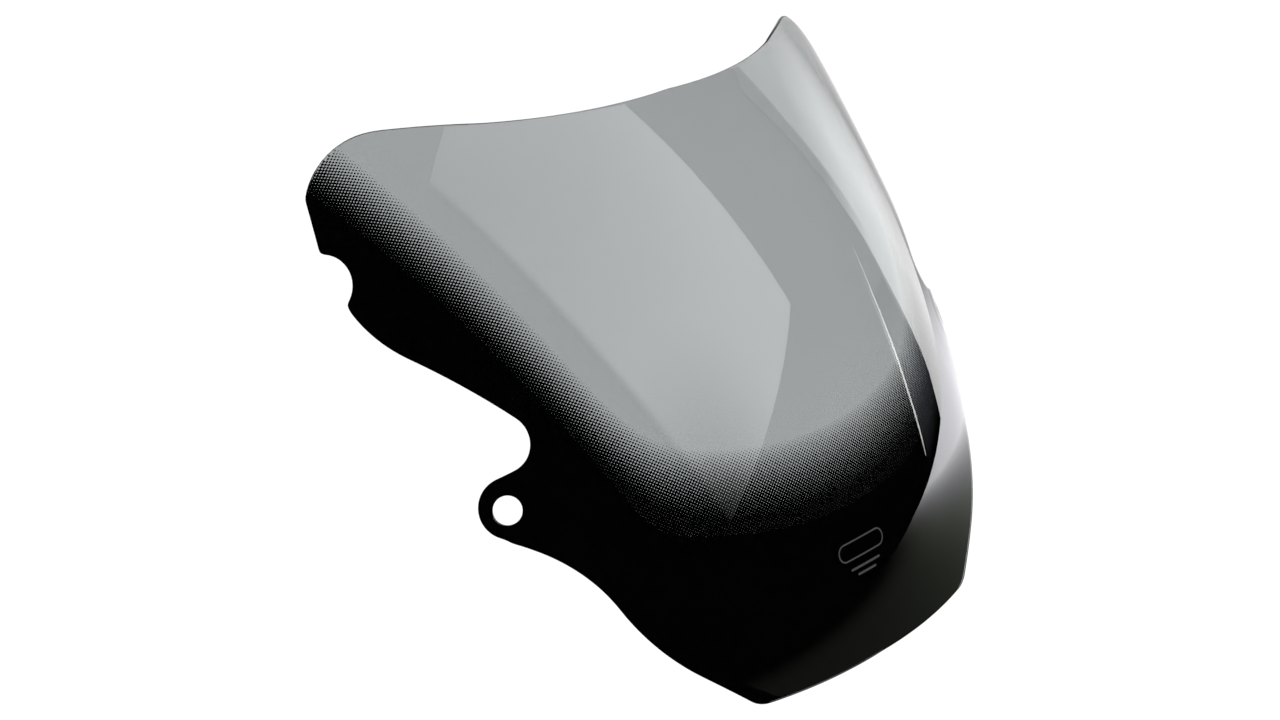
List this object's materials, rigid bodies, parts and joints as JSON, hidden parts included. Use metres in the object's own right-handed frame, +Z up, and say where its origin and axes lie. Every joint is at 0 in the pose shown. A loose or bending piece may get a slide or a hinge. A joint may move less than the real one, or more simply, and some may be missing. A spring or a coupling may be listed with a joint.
{
  "type": "motorcycle windscreen",
  "caption": "Curved smoke-tinted motorcycle windscreen with a black border that fades out in dots, and side ears with holes that screws hold to the fairing.",
  "frame": {"origin": "midway between the centres of the two ear holes, at the ears' outer faces, where the screws hold the screen", "axes": "+X across the screen to the rider's left, -Y forwards to the nose, +Z up; symmetric about X = 0"},
  "size_m": [0.3724, 0.2214, 0.2633],
  "materials": {
    "tinted_acrylic": "polished, see-through smoke grey",
    "black_ink": "screen-printed gloss black",
    "grey_ink": "fine printed line"
  },
  "bodies": {
    "root": {"screen_panel": "tinted_acrylic", "border_print": "black_ink", "print_mark": "grey_ink"}
  },
  "joints": []
}
